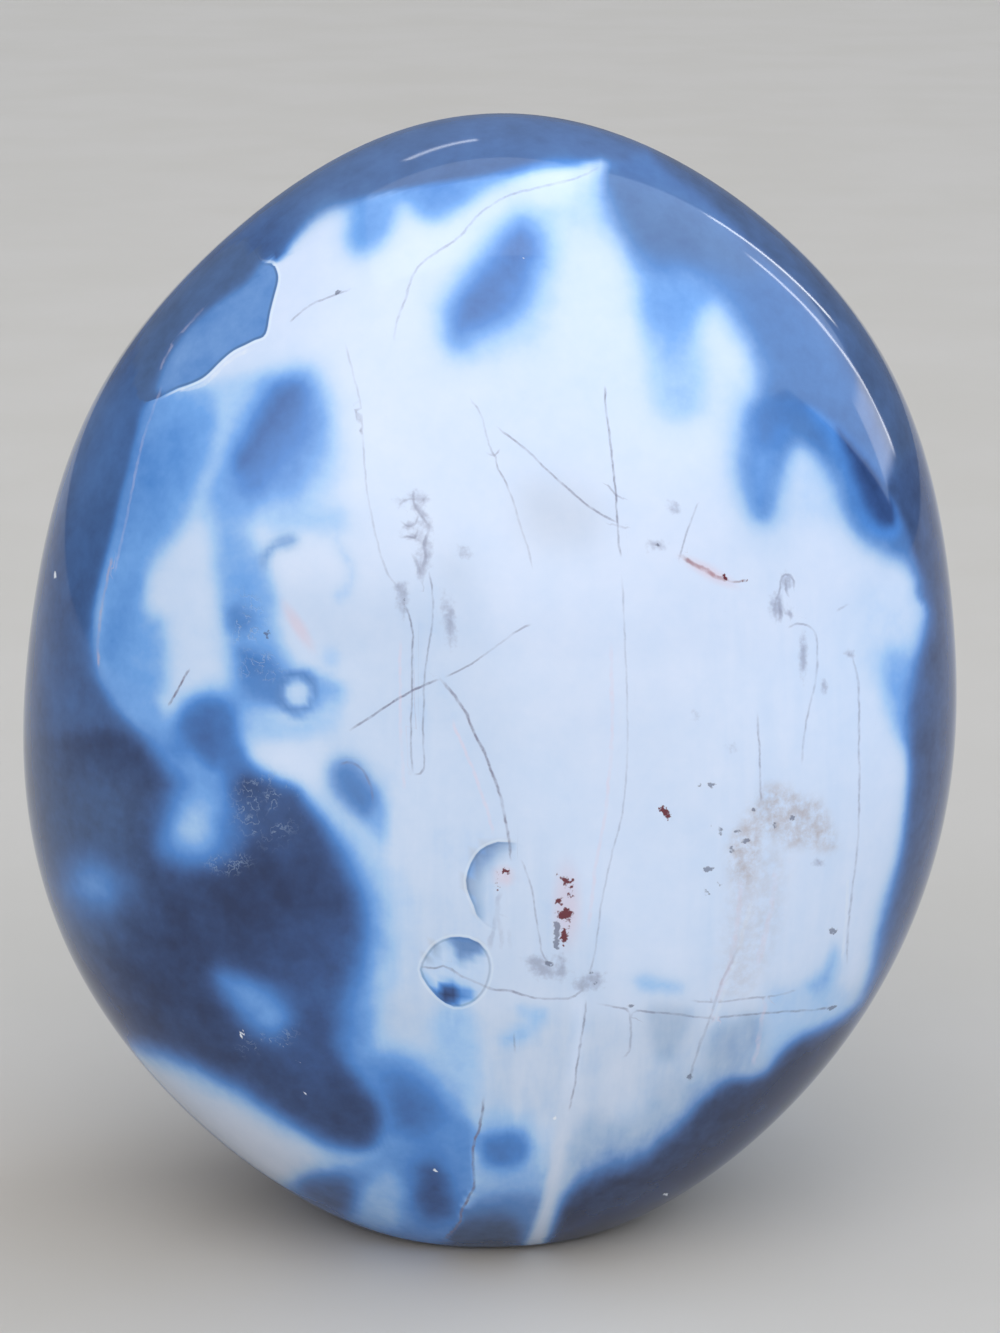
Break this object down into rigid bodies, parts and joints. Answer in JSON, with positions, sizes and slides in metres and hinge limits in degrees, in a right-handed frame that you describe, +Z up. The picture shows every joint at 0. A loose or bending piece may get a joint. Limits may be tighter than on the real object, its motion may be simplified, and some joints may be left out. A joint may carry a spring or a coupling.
{
  "type": "polished stone freeform",
  "caption": "Egg-shaped polished freeform of dark translucent orca jasper with white clouds and fine cracks, standing on a small ground flat.",
  "frame": {"origin": "on the plane of the ground foot, below the middle of the stone's box", "axes": "+Z up along the stone's height, +Y towards the back so that the broad polished face looks along -Y, +X to the right of that face"},
  "size_m": [0.0968, 0.0588, 0.1163],
  "materials": {
    "stone": "high polish over translucent slate-blue chalcedony with white clouds, fine cracks and rust specks"
  },
  "bodies": {
    "root": {"stone": "stone"}
  },
  "joints": []
}
